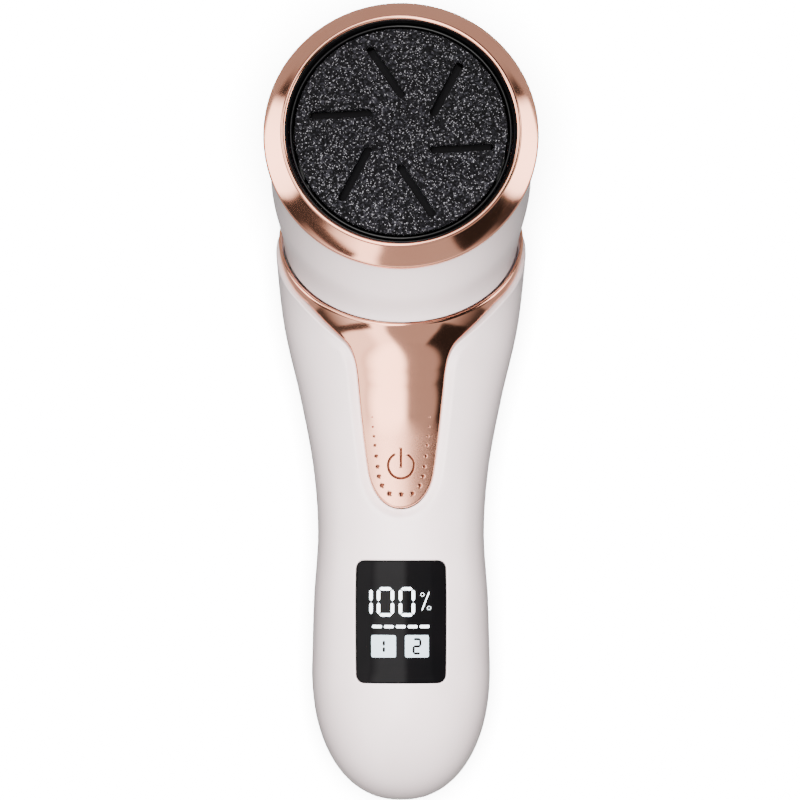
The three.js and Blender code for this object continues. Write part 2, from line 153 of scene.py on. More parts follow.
def on_plan(points, side=1):
    """Body coordinates of the points straight above (side 1) or below (side -1) the plan points [x, y]."""
    points = np.asarray(points, float)
    x, y = points[:, 0], points[:, 1]

    def phi_at(t):
        half = np.abs(body(t, np.full_like(t, PI / 2))[:, 0])
        power = np.interp(t, range(9), STATIONS[:, 5])
        ratio = np.clip(np.abs(x) / np.maximum(half, 1e-6), 0, 1)
        lean = np.arcsin(ratio ** (power / 2)) * np.sign(x)
        return PI - lean if side > 0 else lean

    t = bisect(np.full_like(x, -0.999), np.full_like(x, 6.6), lambda t: body(t, phi_at(t))[:, 1] - y)
    return np.column_stack([t, phi_at(t)])


def on_collar_plane(offset, phi):
    phi = np.asarray(phi, float)
    t = bisect(np.full_like(phi, 3.0), np.full_like(phi, 6.8), lambda t: above_collar(body(t, phi)) - offset)
    return np.column_stack([t, phi])


def on_level(z, t):
    """Right-hand line on the body at height z."""
    t = np.asarray(t, float)
    phi = bisect(np.full_like(t, 0.3), np.full_like(t, PI - 0.3), lambda p: body(t, p)[:, 2] - z)
    return np.column_stack([t, phi])


def mirrored(line, centre):
    """The same line on the other side of the body, run the other way; centre is PI in front and 0 behind."""
    flipped = line[::-1].copy()
    flipped[:, 1] = 2 * centre - flipped[:, 1]
    return flipped


def box_distance(x, y, width, length, corner):
    qx = np.abs(x) - width / 2 + corner
    qy = np.abs(y) - length / 2 + corner
    outside = np.hypot(np.maximum(qx, 0), np.maximum(qy, 0))
    return outside + np.minimum(np.maximum(qx, qy), 0) - corner


def socket_distance(p):
    """Distance from the edge of the oval charging opening, seen along the body."""
    return box_distance(p[:, 0], p[:, 2] - TIP_Z, SOCKET["width"], SOCKET["height"], SOCKET["corner"])


def on_socket(phi):
    phi = np.asarray(phi, float)
    t = bisect(np.full_like(phi, -0.999), np.full_like(phi, -0.2), lambda t: socket_distance(body(t, phi)))
    return np.column_stack([t, phi])


# ---------------------------------------------------------------- outlines
def bezier(p0, p1, p2, p3, count=24):
    t = np.linspace(0, 1, count, endpoint=False)[:, None]
    p0, p1, p2, p3 = (np.array(p, float) for p in (p0, p1, p2, p3))
    return (1 - t) ** 3 * p0 + 3 * (1 - t) ** 2 * t * p1 + 3 * (1 - t) * t**2 * p2 + t**3 * p3


def resampled(points, step, closed=False):
    points = np.asarray(points, float)
    if closed:
        points = np.vstack([points, points[:1]])
    run = np.concatenate([[0], np.cumsum(np.linalg.norm(np.diff(points, axis=0), axis=1))])
    count = max(2, int(round(run[-1] / step)))
    at = np.linspace(0, run[-1], count + 1)[: count if closed else count + 1]
    return np.column_stack([np.interp(at, run, points[:, k]) for k in range(points.shape[1])])


def on_body(line):
    return body(line[:, 0], line[:, 1])


def spaced(line, step):
    """A line in body coordinates, spaced evenly along its real length."""
    p = on_body(line)
    run = np.concatenate([[0], np.cumsum(np.linalg.norm(np.diff(p, axis=0), axis=1))])
    at = np.linspace(0, run[-1], max(2, int(round(run[-1] / step))) + 1)
    return np.column_stack([np.interp(at, run, line[:, k]) for k in (0, 1)])


def rounded_rect(width, length, corner, x=0.0, y=0.0, arc=8):
    points = []
    for k, (sx, sy) in enumerate([(1, -1), (1, 1), (-1, 1), (-1, -1)]):
        cx = x + sx * (width / 2 - corner)
        cy = y + sy * (length / 2 - corner)
        for a in np.linspace(0, PI / 2, arc):
            angle = a + (k - 1) * PI / 2
            points.append([cx + corner * math.cos(angle), cy + corner * math.sin(angle)])
    return np.array(points)


def circle(r, x=0.0, y=0.0, count=48):
    a = np.linspace(0, 2 * PI, count, endpoint=False)
    return np.column_stack([x + r * np.cos(a), y + r * np.sin(a)])


TONGUE_END = 66.7
WING = (26, 118)


def tongue_right(margin):
    """Right half of the key's plan outline, from the wing to the end of the tongue."""
    m = margin
    curves = [
        ((WING[0] + m, WING[1] - m), (24.2 + m, 114.2 - m), (18.6 + m, 108.6 - m), (13.2 + m, 104 - m * 0.7)),
        ((13.2 + m, 104 - m * 0.7), (10.9 + m, 102 - m * 0.3), (10.1 + m, 99), (9.7 + m, 94.5)),
        ((9.7 + m, 94.5), (9.2 + m, 89), (8.4 + m, 81), (7.5 + m, 75.2)),
        ((7.5 + m, 75.2), (6.9 + m, 70.6 - m), (4 + m, TONGUE_END - m), (0, TONGUE_END - m)),
    ]
    return np.vstack([bezier(*c) for c in curves])


def key_edge(margin):
    """The whole lower edge of the plated key, in body coordinates, from the right parting line to the left."""
    tongue = on_plan(tongue_right(margin))
    tongue = tongue[above_collar(on_body(tongue)) < -BAND_WIDTH - margin - 0.05]
    root = on_body(tongue[:1])[0, 0]
    side = on_collar_plane(-BAND_WIDTH - margin, np.linspace(PI / 2 - 0.6, PI, 600))
    p = on_body(side)
    side = side[(p[:, 2] > PARTING_Z + SEAM) & (p[:, 0] > root + 0.1)]
    right = np.vstack([side, tongue])
    end = on_plan([[0, TONGUE_END - margin]])
    return np.vstack([right, end, mirrored(right, PI)[1:]])


# ---------------------------------------------------------------- mesh making
# Height on the flat pattern of the tip and of each station.
V_STOPS = [0, 30, 46, 61, 76, 92, 109, 127.8, 140, 148.2]
AROUND = 20  # millimetres of the flat pattern for each radian around the body
CLOSEST = 0.06  # an added point keeps this far from an outline


def flat(line):
    return np.column_stack([line[:, 1] * AROUND, np.interp(line[:, 0], range(-1, 9), V_STOPS)])


def unflat(points):
    return np.column_stack([np.interp(points[:, 1], V_STOPS, range(-1, 9)), points[:, 0] / AROUND])


def inside_loop(points, loop):
    inside = np.zeros(len(points), bool)
    x, y = points[:, 0], points[:, 1]
    x0, y0 = loop[:, 0], loop[:, 1]
    x1, y1 = np.roll(x0, -1), np.roll(y0, -1)
    for a, b, c, d in zip(x0, y0, x1, y1):
        if b != d:
            inside ^= ((b > y) != (d > y)) & (x < (c - a) * (y - b) / (d - b) + a)
    return inside


def within(points, loops):
    """Which points lie inside the first loop and outside the others."""
    good = inside_loop(points, loops[0])
    for hole in loops[1:]:
        good &= ~inside_loop(points, hole)
    return good


def nearest_on(points, starts, ends):
    """Distance from each point to the nearest of the segments, and the unit direction away from it."""
    gap = np.empty(len(points))
    away = np.empty_like(points)
    along = ends - starts
    length = np.maximum((along**2).sum(1), 1e-12)
    for k in range(0, len(points), 1500):
        p = points[k : k + 1500, None, :]
        s = np.clip(((p - starts) * along).sum(2) / length, 0, 1)
        offset = p - (starts + s[..., None] * along)
        far = (offset**2).sum(2)
        best = far.argmin(1)
        rows = np.arange(len(best))
        gap[k : k + 1500] = np.sqrt(far[rows, best])
        away[k : k + 1500] = offset[rows, best]
    return gap, away / np.maximum(gap, 1e-9)[:, None]


def loop_segments(loops):
    starts = np.vstack(loops)
    ends = np.vstack([np.roll(l, -1, axis=0) for l in loops])
    return starts, ends


def triangulated(loops, inner_points):
    """Delaunay triangles inside the first loop and outside the others, with the loops kept as edges."""
    edges, rims = [], []
    first = 0
    for loop in loops:
        rim = list(range(first, first + len(loop)))
        rims.append(rim)
        edges += zip(rim, rim[1:] + rim[:1])
        first += len(loop)
    points = np.vstack([*loops, inner_points])
    found = delaunay_2d_cdt([Vector(p) for p in points], edges, [], 0, 1e-5, True)
    verts = np.array([list(v) for v in found[0]])
    faces = np.array([f for f in found[2] if len(f) == 3])
    keep = within(verts[faces].mean(1), loops)
    moved_to = {old: new for new, olds in enumerate(found[3]) for old in olds}
    return verts, faces[keep], [[moved_to[k] for k in rim] for rim in rims]


def pattern_points(loops, spacing, rows):
    """Points of a regular lattice inside the loops, with rows of points that follow the edges."""
    low = loops[0].min(0)
    high = loops[0].max(0)
    xs = np.arange(low[0] + spacing / 2, high[0], spacing)
    ys = np.arange(low[1] + spacing / 2, high[1], spacing)
    lattice = np.array(np.meshgrid(xs, ys)).reshape(2, -1).T
    starts, ends = loop_segments(loops)
    gathered = [(lattice, max([spacing * 0.5, *[r * 1.5 for r in rows]]))]
    for row in rows:
        for loop in loops:
            ahead = np.roll(loop, -1, axis=0) - np.roll(loop, 1, axis=0)
            side = unit(np.column_stack([-ahead[:, 1], ahead[:, 0]]))
            for sign in (1, -1):
                gathered.append((loop + sign * row * side, row * 0.85))
    kept = []
    for points, clear in gathered:
        points = points[within(points, loops)]
        if len(points):
            kept.append(points[nearest_on(points, starts, ends)[0] > clear])
    return np.vstack([np.empty((0, 2)), *kept])


def new_object(name, verts, faces, normals=None, marks=None, materials=()):
    """A mesh object from millimetre points measured from the tip, placed in the frame."""
    placed = (np.asarray(verts) - [0, MID_Y, 0]) * MM
    mesh = bpy.data.meshes.new(name)
    mesh.from_pydata(placed.tolist(), [], [list(map(int, f)) for f in faces])
    for material in materials:
        mesh.materials.append(material)
    mesh.polygons.foreach_set("use_smooth", [True] * len(mesh.polygons))
    if marks is not None:
        mesh.polygons.foreach_set("material_index", marks)
    mesh.update()
    if normals is not None:
        mesh.normals_split_custom_set(normals)
    obj = bpy.data.objects.new(name, mesh)
    bpy.context.scene.collection.objects.link(obj)
    return obj


def edge_round(radius):
    """Height and slope of a surface that rolls over at its edge, by distance from the edge."""

    def profile(gap):
        s = np.clip((radius - gap) / radius, 0, 0.985)
        return -radius * (1 - np.sqrt(1 - s**2)), np.where(gap < radius, s / np.sqrt(1 - s**2), 0)

    return profile


def groove(width, depth):
    """Height and slope of a rounded channel, by distance from its middle line."""

    def profile(gap):
        s = np.clip(gap / width, 0, 1)
        return -depth * (1 - s**2) ** 2, 4 * depth * s * (1 - s**2) / width

    return profile


def line_field(profile, starts, ends, share=None):
    """A relief that follows segments; share is how much of it each point takes."""

    def field(base, normal):
        gap, away = nearest_on(base, starts, ends)
        away = away - normal * (away * normal).sum(1, keepdims=True)
        rise, slope = profile(gap)
        part = 1.0 if share is None else share(base)
        return rise * part, away * (slope * part)[:, None]

    return field


def dimple_field(centres, radii, depth_ratio):
    """Small round hollows."""

    def field(base, normal):
        height = np.zeros(len(base))
        slope = np.zeros_like(base)
        for centre, r in zip(centres, radii):
            offset = base - centre
            offset -= normal * (offset * normal).sum(1, keepdims=True)
            gap = np.linalg.norm(offset, axis=1)
            near = gap < r
            s = gap[near] / r
            height[near] -= depth_ratio * r * (1 - s**2)
            steep = 2 * depth_ratio * s
            slope[near] += offset[near] / np.maximum(gap[near], 1e-6)[:, None] * steep[:, None]
        return height, slope

    return field


def relieved(base, normal, rims, offset, edge, fields):
    """Heights and shading normals of a sheet with relief on it, its rims rolled over."""
    fields = list(fields)
    if edge:
        fields.append(line_field(edge_round(edge), *loop_segments([base[r] for r in rims])))
    height = np.full(len(base), float(offset))
    shaded = normal.copy()
    for field in fields:
        rise, slope = field(base, normal)
        height += rise
        shaded -= slope
    return height[:, None], unit(shaded)


def panel(name, loops, materials, spacing=0.8, thick=1.6, offset=0.0, edge=0.35, rows=(0.08, 0.18, 0.32, 0.55),
          fields=(), extra=(), marks_of=None):
    """A closed moulding over a region of the body: loops are in body coordinates, the first is the outside."""
    flats = [flat(l) for l in loops]
    inner = pattern_points(flats, spacing, rows)
    if len(extra):
        more = flat(extra)
        gap = nearest_on(more, *loop_segments(flats))[0]
        inner = np.vstack([inner, more[within(more, flats) & (gap > CLOSEST)]])
    pattern, faces, rims = triangulated(flats, inner)
    line = unflat(pattern)
    base = on_body(line)
    normal = body_normal(line[:, 0], line[:, 1])
    height, shaded = relieved(base, normal, rims, offset, edge, fields)
    outer = base + normal * height
    under = base - normal * (thick - offset)
    return sandwich(name, outer, under, shaded, -normal, faces, rims, materials, marks_of, base)


def plate(name, loops, top, bottom, materials, spacing=1.0, edge=0.2, rows=(0.06, 0.14, 0.25), fields=(),
          axis=HEAD):
    """A closed plate with holes, drawn on the XY plane of the axis, its upper edges rolled over."""
    pattern, faces, rims = triangulated(loops, pattern_points(loops, spacing, rows))
    base = np.column_stack([pattern, np.zeros(len(pattern))])
    up = np.tile([0.0, 0.0, 1.0], (len(base), 1))
    height, shaded = relieved(base, up, rims, top, edge, fields)
    turn = np.array(axis.to_3x3())
    shift = np.array(axis.translation)
    outer = (base + up * height) @ turn.T + shift
    under = (base + up * bottom) @ turn.T + shift
    return sandwich(name, outer, under, shaded @ turn.T, -up @ turn.T, faces, rims, materials)


def sandwich(name, outer, under, top_normals, low_normals, faces, rims, materials, marks_of=None, base=None):
    """Closes two copies of a triangulated sheet with walls along its rims."""
    count = len(outer)
    a, b, c = (outer[faces[:, k]] for k in range(3))
    flip = (np.cross(b - a, c - a) * top_normals[faces[:, 0]]).sum(1) < 0
    faces = np.where(flip[:, None], faces[:, ::-1], faces)
    edge_use = {(f[k], f[(k + 1) % 3]) for f in faces.tolist() for k in range(3)}
    walls = []
    for rim in rims:
        for p, q in zip(rim, rim[1:] + rim[:1]):
            if (p, q) not in edge_use:
                p, q = q, p
            walls.append((q, p, p + count, q + count))
    verts = np.vstack([outer, under])
    low_faces = faces[:, ::-1] + count
    walls = np.array(walls)
    first = verts[walls[:, 0]]
    wall_normals = unit(np.cross(verts[walls[:, 1]] - first, verts[walls[:, 3]] - first))
    normals = np.vstack([
        top_normals[faces].reshape(-1, 3),
        low_normals[low_faces - count].reshape(-1, 3),
        np.repeat(wall_normals, 4, axis=0),
    ])
    all_faces = [*faces.tolist(), *low_faces.tolist(), *walls.tolist()]
    marks = None
    if marks_of is not None:
        top = marks_of(base[faces].mean(1)).astype(int)
        marks = np.concatenate([top, np.zeros(len(low_faces) + len(walls), int)])
    return new_object(name, verts, all_faces, normals, marks, materials)


def lathe(name, profile, materials, segments=160, sharp=32.0, axis=HEAD):
    """A closed ring or disc turned about the axis, from [radius, height] points."""
    profile = np.asarray(profile, float)
    on_axis = profile[:, 0] < 1e-6
    angles = np.linspace(0, 2 * PI, segments, endpoint=False)
    verts = []
    index = []
    for (r, h), centre in zip(profile, on_axis):
        if centre:
            index.append([len(verts)] * segments)
            verts.append([0, 0, h])
        else:
            index.append([len(verts) + k for k in range(segments)])
            verts += [[r * math.cos(a), r * math.sin(a), h] for a in angles]
    closed = not on_axis[0]
    faces = []
    for k in range(len(profile) - (0 if closed else 1)):
        low, high = index[k], index[(k + 1) % len(profile)]
        for s in range(segments):
            n = (s + 1) % segments
            quad = [low[s], low[n], high[n], high[s]]
            face = list(dict.fromkeys(quad))
            if len(face) > 2:
                faces.append(face)
    placed = np.array([list(axis @ Vector(v)) for v in verts])
    obj = new_object(name, placed, faces, materials=materials)
    obj.data.set_sharp_from_angle(angle=math.radians(sharp))
    return obj


def arc_points(cx, cy, r, start, end, count=6):
    return [[cx + r * math.cos(a), cy + r * math.sin(a)] for a in np.radians(np.linspace(start, end, count))]


def joined(name, objects):
    """One object from several."""
    with bpy.context.temp_override(active_object=objects[0], selected_editable_objects=objects):
        bpy.ops.object.join()
    objects[0].name = name
    objects[0].data.name = name
    return objects[0]


def lying(y):
    """Axis that looks out of the back of the object: its own Z is down."""
    return Matrix.Translation((0, y, 0)) @ Matrix.Rotation(PI, 4, "X")


# ---------------------------------------------------------------- materials
def linear(r, g, b):
    """Linear colour from the 0 to 255 values of a colour chip."""
    return [((c / 255 + 0.055) / 1.055) ** 2.4 if c > 10 else c / 255 / 12.92 for c in (r, g, b)] + [1]


def node(tree, kind, inputs=None, **settings):
    made = tree.nodes.new("ShaderNode" + kind)
    for key, value in settings.items():
        setattr(made, key, value)
    for key, value in (inputs or {}).items():
        if isinstance(value, bpy.types.NodeSocket):
            tree.links.new(value, made.inputs[key])
        else:
            made.inputs[key].default_value = value
    return made


def new_material(name, **constants):
    """A material with a Principled shader whose plain numbers sit on its own sockets."""
    material = bpy.data.materials.new(name)
    material.use_nodes = True
    tree = material.node_tree
    shader = tree.nodes["Principled BSDF"]
    for key, value in constants.items():
        shader.inputs[key.replace("_", " ")].default_value = value
    place = node(tree, "TexCoord").outputs["Object"]
    return material, tree, shader, place


def feed(tree, shader, **sources):
    for key, socket in sources.items():
        tree.links.new(socket, shader.inputs[key.replace("_", " ")])


def ramp(tree, factor, *stops):
    """A colour ramp from (position, colour) stops."""
    made = node(tree, "ValToRGB", {"Fac": factor})
    elements = made.color_ramp.elements
    while len(elements) < len(stops):
        elements.new(0.5)
    for element, (position, colour) in zip(elements, stops):
        element.position = position
        element.color = colour
    return made.outputs["Color"]


def spread(tree, value, low, high, start=0.0, end=1.0):
    """A value mapped from start..end to low..high."""
    inputs = {"Value": value, "From Min": start, "From Max": end, "To Min": low, "To Max": high}
    return node(tree, "MapRange", inputs).outputs["Result"]


def noise(tree, place, scale, detail=3.0, roughness=0.5):
    inputs = {"Vector": place, "Scale": scale, "Detail": detail, "Roughness": roughness}
    return node(tree, "TexNoise", inputs).outputs["Fac"]


def cells(tree, place, scale, feature="F1"):
    return node(tree, "TexVoronoi", {"Vector": place, "Scale": scale}, feature=feature)


def bumped(tree, height, strength, distance):
    inputs = {"Height": height, "Strength": strength, "Distance": distance}
    return node(tree, "Bump", inputs).outputs["Normal"]


def moulded_plastic(name, low, high, roughness, bump=0.12, **constants):
    """Injection-moulded plastic: a faint cloud of tone, a fine spark-eroded grain, uneven gloss."""
    material, tree, shader, place = new_material(name, **constants)
    cloud = noise(tree, place, 90, 2)
    grain = noise(tree, place, 5200, 2)
    feed(
        tree,
        shader,
        Base_Color=ramp(tree, cloud, (0.3, low), (0.7, high)),
        Roughness=spread(tree, noise(tree, place, 240, 4), roughness - 0.04, roughness + 0.05),
        Normal=bumped(tree, grain, bump, 0.00002),
    )
    return material


def plated(name, low, high, gloss, satin=None, satin_y=0.0):
    """Rose-gold plating: fine polishing marks along the piece; below satin_y it is frosted."""
    material, tree, shader, place = new_material(name, Metallic=1.0)
    stretched = node(tree, "Mapping", {"Vector": place, "Scale": (900, 140, 900)}).outputs["Vector"]
    marks = noise(tree, stretched, 6, 3)
    rough = spread(tree, marks, gloss * 0.8, gloss * 1.3)
    if satin:
        y = node(tree, "SeparateXYZ", {"Vector": place}).outputs["Y"]
        frosted = spread(tree, y, 1.0, 0.0, satin_y - 0.0005, satin_y + 0.0040)
        frost = spread(tree, noise(tree, place, 2600, 2), satin * 0.85, satin * 1.15)
        mix = node(tree, "Mix", {"Factor": frosted, "A": rough, "B": frost})
        rough = mix.outputs["Result"]
    cloud = noise(tree, place, 60, 2)
    feed(
        tree,
        shader,
        Base_Color=ramp(tree, cloud, (0.25, low), (0.75, high)),
        Roughness=rough,
        Normal=bumped(tree, noise(tree, place, 3000, 2), 0.05, 0.00001),
    )
    return material


def grit_material():
    """Charcoal abrasive: packed mineral grains; a few get a bright painted highlight as their glint, and a
    lower roughness.
    """
    material, tree, shader, place = new_material("grit", Specular_IOR_Level=0.12)
    coarse = cells(tree, place, 2300)
    fine = cells(tree, place, 5200)
    tone = node(tree, "SeparateColor", {"Color": coarse.outputs["Color"]}).outputs["Red"]
    glint = node(tree, "SeparateColor", {"Color": fine.outputs["Color"]}).outputs["Green"]
    base = ramp(
        tree,
        tone,
        (0.0, linear(6, 6, 7)),
        (0.45, linear(13, 13, 15)),
        (0.78, linear(24, 24, 27)),
        (0.93, linear(48, 48, 53)),
    )
    # Bright colour added to a few grains: painted glints.
    painted_glint = ramp(tree, glint, (0.91, (0, 0, 0, 1)), (0.98, (0.42, 0.42, 0.45, 1)))
    mixed = node(tree, "Mix", {"Factor": 0.8, "A": base, "B": painted_glint}, data_type="RGBA", blend_type="ADD")
    height = node(tree, "Math", {0: coarse.outputs["Distance"], 1: fine.outputs["Distance"]}, operation="ADD")
    feed(
        tree,
        shader,
        Base_Color=mixed.outputs[2],
        Roughness=spread(tree, glint, 0.8, 0.35, 0.4, 1.0),
        Normal=bumped(tree, height.outputs[0], 0.9, 0.0004),
    )
    return material


def worked(name, pattern, low, high, gloss, bump, **constants):
    """A material whose colour, gloss and bump all follow one pattern."""
    material, tree, shader, place = new_material(name, **constants)
    value = pattern(tree, place)
    feed(
        tree,
        shader,
        Base_Color=ramp(tree, value, low, high),
        Roughness=spread(tree, value, *gloss),
        Normal=bumped(tree, value, *bump),
    )
    return material


def brushing(tree, place):
    stretched = node(tree, "Mapping", {"Vector": place, "Scale": (700, 90, 700)}).outputs["Vector"]
    return noise(tree, stretched, 5, 4)


def shrink_folds(tree, place):
    inputs = {"Vector": place, "Scale": 60.0, "Distortion": 9.0, "Detail": 3.0}
    return node(tree, "TexWave", inputs).outputs["Fac"]


def pores(tree, place):
    return cells(tree, place, 1400).outputs["Distance"]


def smears(tree, place):
    return noise(tree, place, 180, 4)


def circuit_board():
    """Green solder mask over copper traces."""
    material, tree, shader, place = new_material("board")
    colours = {"Color1": linear(26, 96, 52), "Color2": linear(30, 106, 58), "Mortar": linear(60, 140, 84)}
    traces = node(tree, "TexBrick", {"Vector": place, "Scale": 260.0, "Mortar Size": 0.07, **colours})
    feed(
        tree,
        shader,
        Base_Color=traces.outputs["Color"],
        Roughness=spread(tree, noise(tree, place, 800, 3), 0.28, 0.5),
        Normal=bumped(tree, traces.outputs["Fac"], 0.4, 0.00004),
    )
    return material


def lit_segments(name, colour, strength):
    """Lit display elements, a little uneven as a backlight is."""
    material, tree, shader, place = new_material(name, Roughness=0.4, Emission_Strength=strength)
    glow = noise(tree, place, 500, 2)
    dim = [c * 0.94 for c in colour[:3]] + [1]
    feed(
        tree,
        shader,
        Emission_Color=ramp(tree, glow, (0.3, dim), (0.6, colour)),
        Base_Color=ramp(tree, glow, (0.3, dim), (0.6, colour)),
        Normal=bumped(tree, glow, 0.05, 0.00001),
    )
    return material


WHITE = moulded_plastic("shell_white", linear(228, 213, 213), linear(233, 218, 218), 0.3, Coat_Weight=0.1)
# The head's barrel takes a darker copy of the handle's white: painted shade under the guard ring.
HEAD_WHITE_PAINTED_SHADE = moulded_plastic("head_white_painted_shade", linear(223, 208, 208), linear(228, 213, 213), 0.3, Coat_Weight=0.1)
PLATING = (linear(243, 170, 142), linear(248, 178, 150), 0.1)
ROSE = plated("rose_gold", *PLATING)
KEY_ROSE = plated("rose_gold_key", *PLATING, 0.28, (83 - MID_Y) * MM)
# Darker plated colour for the faces in the power mark's groove and the dots' hollows: painted shade in the
# hollows.
HOLLOW_PAINTED_SHADE = plated("rose_gold_hollow_painted_shade", linear(104, 58, 42), linear(128, 74, 56), 0.3)
GRIT = grit_material()
GLOSS_BLACK = moulded_plastic(
    "gloss_black", linear(7, 7, 8), linear(11, 11, 12), 0.12, 0.03, Specular_IOR_Level=0.3
)
MATT_BLACK = moulded_plastic(
    "matt_black", linear(6, 6, 7), linear(9, 9, 10), 0.6, Specular_IOR_Level=0.08
)
STEEL = worked(
    "steel", brushing, (0.3, linear(170, 172, 176)), (0.7, linear(205, 206, 208)), (0.22, 0.4), (0.15, 0.00003),
    Metallic=1.0,
)
BOARD = circuit_board()
CELL = worked(
    "cell", shrink_folds, (0.2, linear(34, 78, 150)), (0.9, linear(52, 104, 182)), (0.3, 0.45), (0.2, 0.00008),
    Coat_Weight=0.3,
)
FOAM = worked(
    "foam", pores, (0.1, linear(34, 35, 38)), (0.6, linear(98, 99, 104)), (0.85, 1.0), (1.0, 0.0003)
)
LENS = worked(
    "screen_glass", smears, (0.3, linear(8, 8, 9)), (0.8, linear(11, 10, 11)), (0.03, 0.1), (0.02, 0.00002),
    Specular_IOR_Level=0.06,
)
DIGITS = lit_segments("lit_white", linear(232, 244, 250), 2.0)
SQUARES = lit_segments("lit_pale", linear(176, 196, 204), 1.0)
DISPLAY_GREY = moulded_plastic("display_grey", linear(126, 134, 132), linear(146, 153, 150), 0.35)

KEY_CLEAR = 0.3  # gap around the plated trim
BAND_TOP = -0.3
BAND_SINK = 0.8  # how far the plated trim lies under the casing's lip beside the collar
SINK_REACH = 10
BARREL_SINK = 2.0  # the same for the lower edge of the head's barrel


# ---------------------------------------------------------------- pieces
CASING_WALL = 1.7
CASING_EDGE = 0.3
WELL_R = 2.5
BARREL_WALL = 1.9


def level_end(level, offset):
    """Station where the right-hand line at a height meets a plane parallel to the collar plane."""
    return bisect([3.0], [6.8], lambda t: above_collar(on_body(on_level(level, t))) - offset)[0]


def parting(level, end_offset):
    """Right-hand parting line, from the charging opening to a plane parallel to the collar plane."""
    start = bisect([-0.999], [-0.2], lambda t: socket_distance(on_body(on_level(level, t))))[0]
    return spaced(on_level(level, np.linspace(start, level_end(level, end_offset), 1500)), 0.8)


def place(obj, body_name, slot_name, *replaced):
    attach(obj, body_name)
    if replaced:
        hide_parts(*replaced)
    return obj


def window_loop(margin):
    """Outline of the screen's window, grown by a margin."""
    width, length = SCREEN["width"] + 2 * margin, SCREEN["length"] + 2 * margin
    loop = on_plan(rounded_rect(width, length, SCREEN["corner"] + margin, 0, SCREEN["y"]))
    return spaced(np.vstack([loop, loop[:1]]), 0.5)[:-1]


def trough_share(base):
    """How deep the channel round the tongue is: full beside the tongue, fading out under the wings."""
    s = np.clip((107.5 - base[:, 1]) / 12, 0, 1)
    return s * s * (3 - 2 * s) * np.where(base[:, 0] > 0, 0.75, 1.0)


def sink_field(base, normal):
    """The plated trim dips towards the collar."""
    s = np.clip((above_collar(base) + BAND_WIDTH + SINK_REACH) / SINK_REACH, 0, 1)
    steep = -BAND_SINK * 6 * s * (1 - s) / SINK_REACH
    across = COLLAR_NORMAL - normal * (normal @ COLLAR_NORMAL)[:, None]
    return -BAND_SINK * s * s * (3 - 2 * s), across * steep[:, None]


def front_casing():
    right = parting(PARTING_Z + SEAM, -BAND_WIDTH - KEY_CLEAR)
    key = spaced(key_edge(KEY_CLEAR), 0.45)
    socket = spaced(on_socket(np.linspace(2 * PI - right[0, 1], right[0, 1], 400)), 0.3)
    loop = np.vstack([right[:-1], key[1:-1], mirrored(right, PI)[1:], socket[1:-1]])
    window = window_loop(0.15)
    edge_line = on_body(key)
    trough = line_field(groove(2.1, 1.3), edge_line[:-1], edge_line[1:], trough_share)
    rows = (0.08, 0.18, 0.32, 0.55, 0.9, 1.3, 1.7, 2.0, 2.15)
    shell = panel("front_casing_shell", [loop, window], [WHITE], thick=CASING_WALL, edge=CASING_EDGE, rows=rows,
                  fields=[trough])
    return place(shell, "casing", "shell", "front_casing")


def back_casing():
    right = parting(PARTING_Z - SEAM, -BAND_WIDTH - KEY_CLEAR)
    seam = spaced(on_collar_plane(-BAND_WIDTH - KEY_CLEAR, np.linspace(right[-1, 1], -right[-1, 1], 500)), 0.8)
    socket = spaced(on_socket(np.linspace(-right[0, 1], right[0, 1], 400)), 0.3)
    loop = np.vstack([right, seam[1:-1], mirrored(right, 0), socket[1:-1]])
    holes = [on_plan(circle(PAD_R, 0, PAD_Y, 96), -1)]
    holes += [on_plan(circle(WELL_R, x, y, 32), -1) for x, y in SCREWS]
    loops = [loop, *holes]
    shell = panel("back_casing_shell", loops, [WHITE], spacing=0.9, thick=CASING_WALL, edge=CASING_EDGE)
    place(shell, "casing", "shell", "back_casing")


def screw_wells():
    for k, (x, y) in enumerate(SCREWS):
        skin = on_body(on_plan(circle(WELL_R, x, y, 24), -1))[:, 2].max()
        inner, top, bottom = WELL_R - 0.3, 8.5, 8.25
        profile = [[0, top], [WELL_R, top], [WELL_R, skin + 0.1]]
        profile += [[inner, skin + 0.2], [inner, bottom], [0, bottom]]
        well = lathe(f"screw_well_{k + 1}", profile, [WHITE], 40, axis=Matrix.Translation((x, y, 0)))
        place(well, "casing", "shell")


def back_pad():
    """Raised round pad that the object lies on, with the louvred cover of the air outlet in it."""
    inner = COVER_R + 0.25
    profile = [[inner, 3.4], [inner, 0.7], *arc_points(inner + 0.4, 0.6, 0.4, 180, 270)]
    profile += [*arc_points(PAD_R - 0.8, 1.0, 0.8, 270, 360), [PAD_R, 3.4]]
    ring = lathe("outlet_pad", profile, [WHITE], 128, axis=Matrix.Translation((0, PAD_Y, 0)))
    place(ring, "casing", "shell")
    loops = [circle(COVER_R, count=120)]
    for side in (-1, 1):
        for k in range(3):
            loops.append(rounded_rect(15 - 3 * k, 1.4, 0.69, 0, side * (4 + 2.6 * k)))
    cover = plate("outlet_grille", loops, 0, -3.2, [WHITE], 1.2, 0.3, (0.08, 0.18, 0.3), axis=lying(PAD_Y))
    place(cover, "casing", "shell", "outlet_cover")


def barrel_sink(share, phi):
    """How far the barrel is drawn in at a share of the way from the collar to the ring."""
    s = min(share / 0.55, 1)
    return BARREL_SINK * (1 - s * s * (3 - 2 * s)) * (0.25 + 0.75 * np.sin(phi) ** 2)


